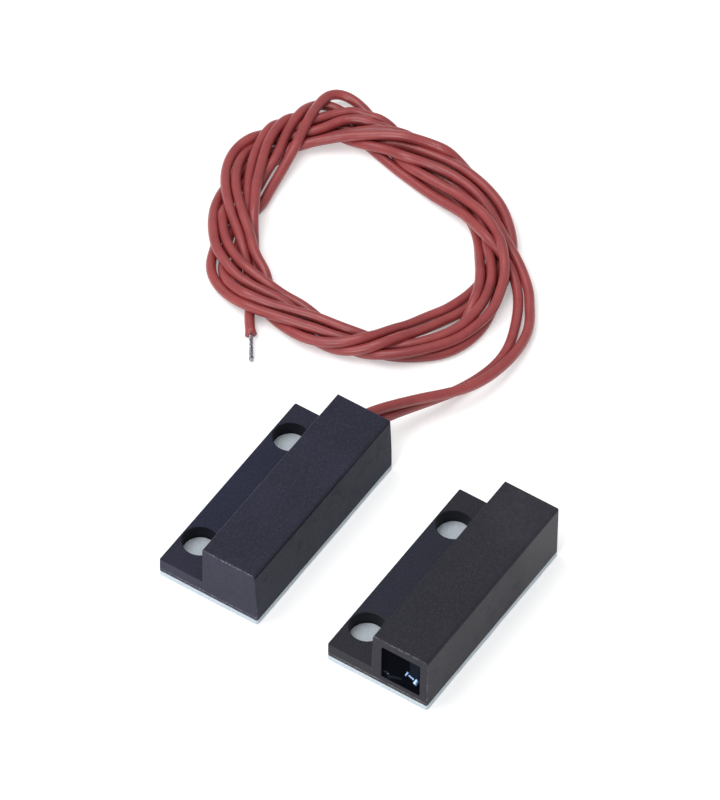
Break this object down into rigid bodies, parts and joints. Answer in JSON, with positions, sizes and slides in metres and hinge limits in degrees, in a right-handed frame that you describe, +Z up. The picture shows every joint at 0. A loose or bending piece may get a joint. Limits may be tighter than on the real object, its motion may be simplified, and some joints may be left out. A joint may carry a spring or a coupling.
{
  "type": "magnetic contact",
  "caption": "Surface-mounted magnetic contact: potted reed switch half with two coiled leads and its magnet half, both on adhesive tape.",
  "frame": {"origin": "centre of the switch half's mounting face, the underside of its tape liner, on the surface it stands on", "axes": "+X across, from the switch half to the magnet half; +Y along the halves, towards the end where the leads leave; +Z up"},
  "size_m": [0.0769, 0.0886, 0.0101],
  "materials": {
    "housing_plastic": "fine matte moulding",
    "foam_tape": "closed-cell foam",
    "liner_paper": "coated paper",
    "tube_glass": "clear",
    "reed_alloy": "plated",
    "solder": "bright solder",
    "tinned_strands": "tinned copper strands",
    "potting_resin": "glossy cast resin",
    "lead_insulation": "satin soft insulation",
    "magnet_alloy": "ground"
  },
  "bodies": {
    "base": {"switch_housing": "housing_plastic", "switch_tape": "foam_tape", "switch_liner": "liner_paper", "reed_glass": "tube_glass", "solder_joint_a": "solder", "solder_joint_b": "solder", "lead_a_core": "tinned_strands", "lead_b_core": "tinned_strands", "switch_potting": "potting_resin", "lead_a": "lead_insulation", "lead_b": "lead_insulation", "lead_coil": "lead_insulation", "lead_tip": "tinned_strands", "magnet_housing": "housing_plastic", "magnet_potting": "potting_resin", "bar_magnet": "magnet_alloy", "magnet_tape": "foam_tape", "magnet_liner": "liner_paper"},
    "near_reed": {"reed_blade_a": "reed_alloy"},
    "far_reed": {"reed_blade_b": "reed_alloy"}
  },
  "joints": [
    {"name": "near_reed_flex", "type": "hinge", "parent": "base", "child": "near_reed", "pos_m": [0.00525, -0.0082, 0.006], "axis": [0, 0, 1], "range_deg": [0, 0.6], "stiffness_Nm_per_rad": 0.05},
    {"name": "far_reed_flex", "type": "hinge", "parent": "base", "child": "far_reed", "pos_m": [0.00525, 0.002, 0.006], "axis": [0, 0, 1], "range_deg": [0, 0.6], "stiffness_Nm_per_rad": 0.05}
  ]
}
